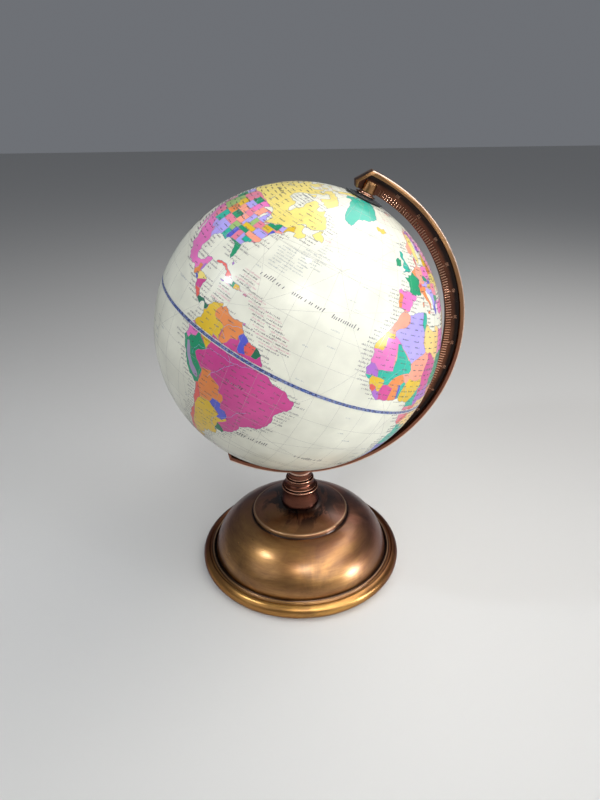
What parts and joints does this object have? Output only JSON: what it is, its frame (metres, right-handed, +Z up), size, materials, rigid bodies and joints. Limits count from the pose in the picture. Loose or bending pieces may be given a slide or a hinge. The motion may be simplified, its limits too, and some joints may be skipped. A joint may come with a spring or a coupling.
{
  "type": "desktop globe on stand",
  "caption": "Desk globe: a hollow printed ball that spins on a tilted axis, held by a half-circle metal meridian arm on a short turned neck and a round domed, weighted metal base.",
  "frame": {"origin": "middle of the felt pad's underside, where the neck's axis meets the table", "axes": "+Z up along the neck; the polar axis leans 26 degrees from +Z towards +X, so the arm lies in the XZ plane on the +X side; -Y is the side that the picture was taken from"},
  "size_m": [0.217, 0.2, 0.3053],
  "materials": {
    "felt": "short black felt",
    "board": "bare fibreboard",
    "base_bronze": "antique bronze plating, brushed by hand and lacquered",
    "ballast_iron": "rough black casting",
    "fastener_steel": "zinc plated",
    "neck_copper": "antique copper plating, lacquered",
    "insert_brass": "machined",
    "arm_copper": "antique copper plating with dark recesses",
    "pivot_steel": "ground steel",
    "sleeve_copper": "polished copper plating",
    "globe_print": "printed map under clear gloss lacquer",
    "equator_print": "printed tape under clear gloss lacquer",
    "inner_plastic": "plain moulding",
    "hub_plastic": "plain moulding",
    "dial_plastic": "satin, with pale hour marks"
  },
  "bodies": {
    "stand": {"felt_pad": "felt", "bottom_plate": "board", "base_shell": "base_bronze", "ballast_weight": "ballast_iron", "rod_nut": "fastener_steel", "lock_washer": "fastener_steel", "flat_washer": "fastener_steel", "tie_rod": "fastener_steel", "neck_cup": "neck_copper", "neck_ring": "neck_copper", "neck_collar": "neck_copper", "arm_insert": "insert_brass", "meridian_arm": "arm_copper", "north_pivot_pin": "pivot_steel", "north_pivot_sleeve": "sleeve_copper", "south_pivot_pin": "pivot_steel", "south_pivot_sleeve": "sleeve_copper"},
    "globe": {"north_hemisphere": "globe_print", "south_hemisphere": "globe_print", "equator_tape": "equator_print", "joining_ring": "inner_plastic", "north_hub": "hub_plastic", "south_hub": "hub_plastic"},
    "hour_dial": {"hour_dial": "dial_plastic"}
  },
  "joints": [
    {"name": "globe_spin", "type": "hinge", "parent": "stand", "child": "globe", "pos_m": [0, 0, 0.1987], "axis": [0.4384, 0, 0.8988], "continuous": true},
    {"name": "hour_dial_turn", "type": "hinge", "parent": "globe", "child": "hour_dial", "pos_m": [0, 0, 0.1987], "axis": [0.4384, 0, 0.8988], "continuous": true}
  ]
}
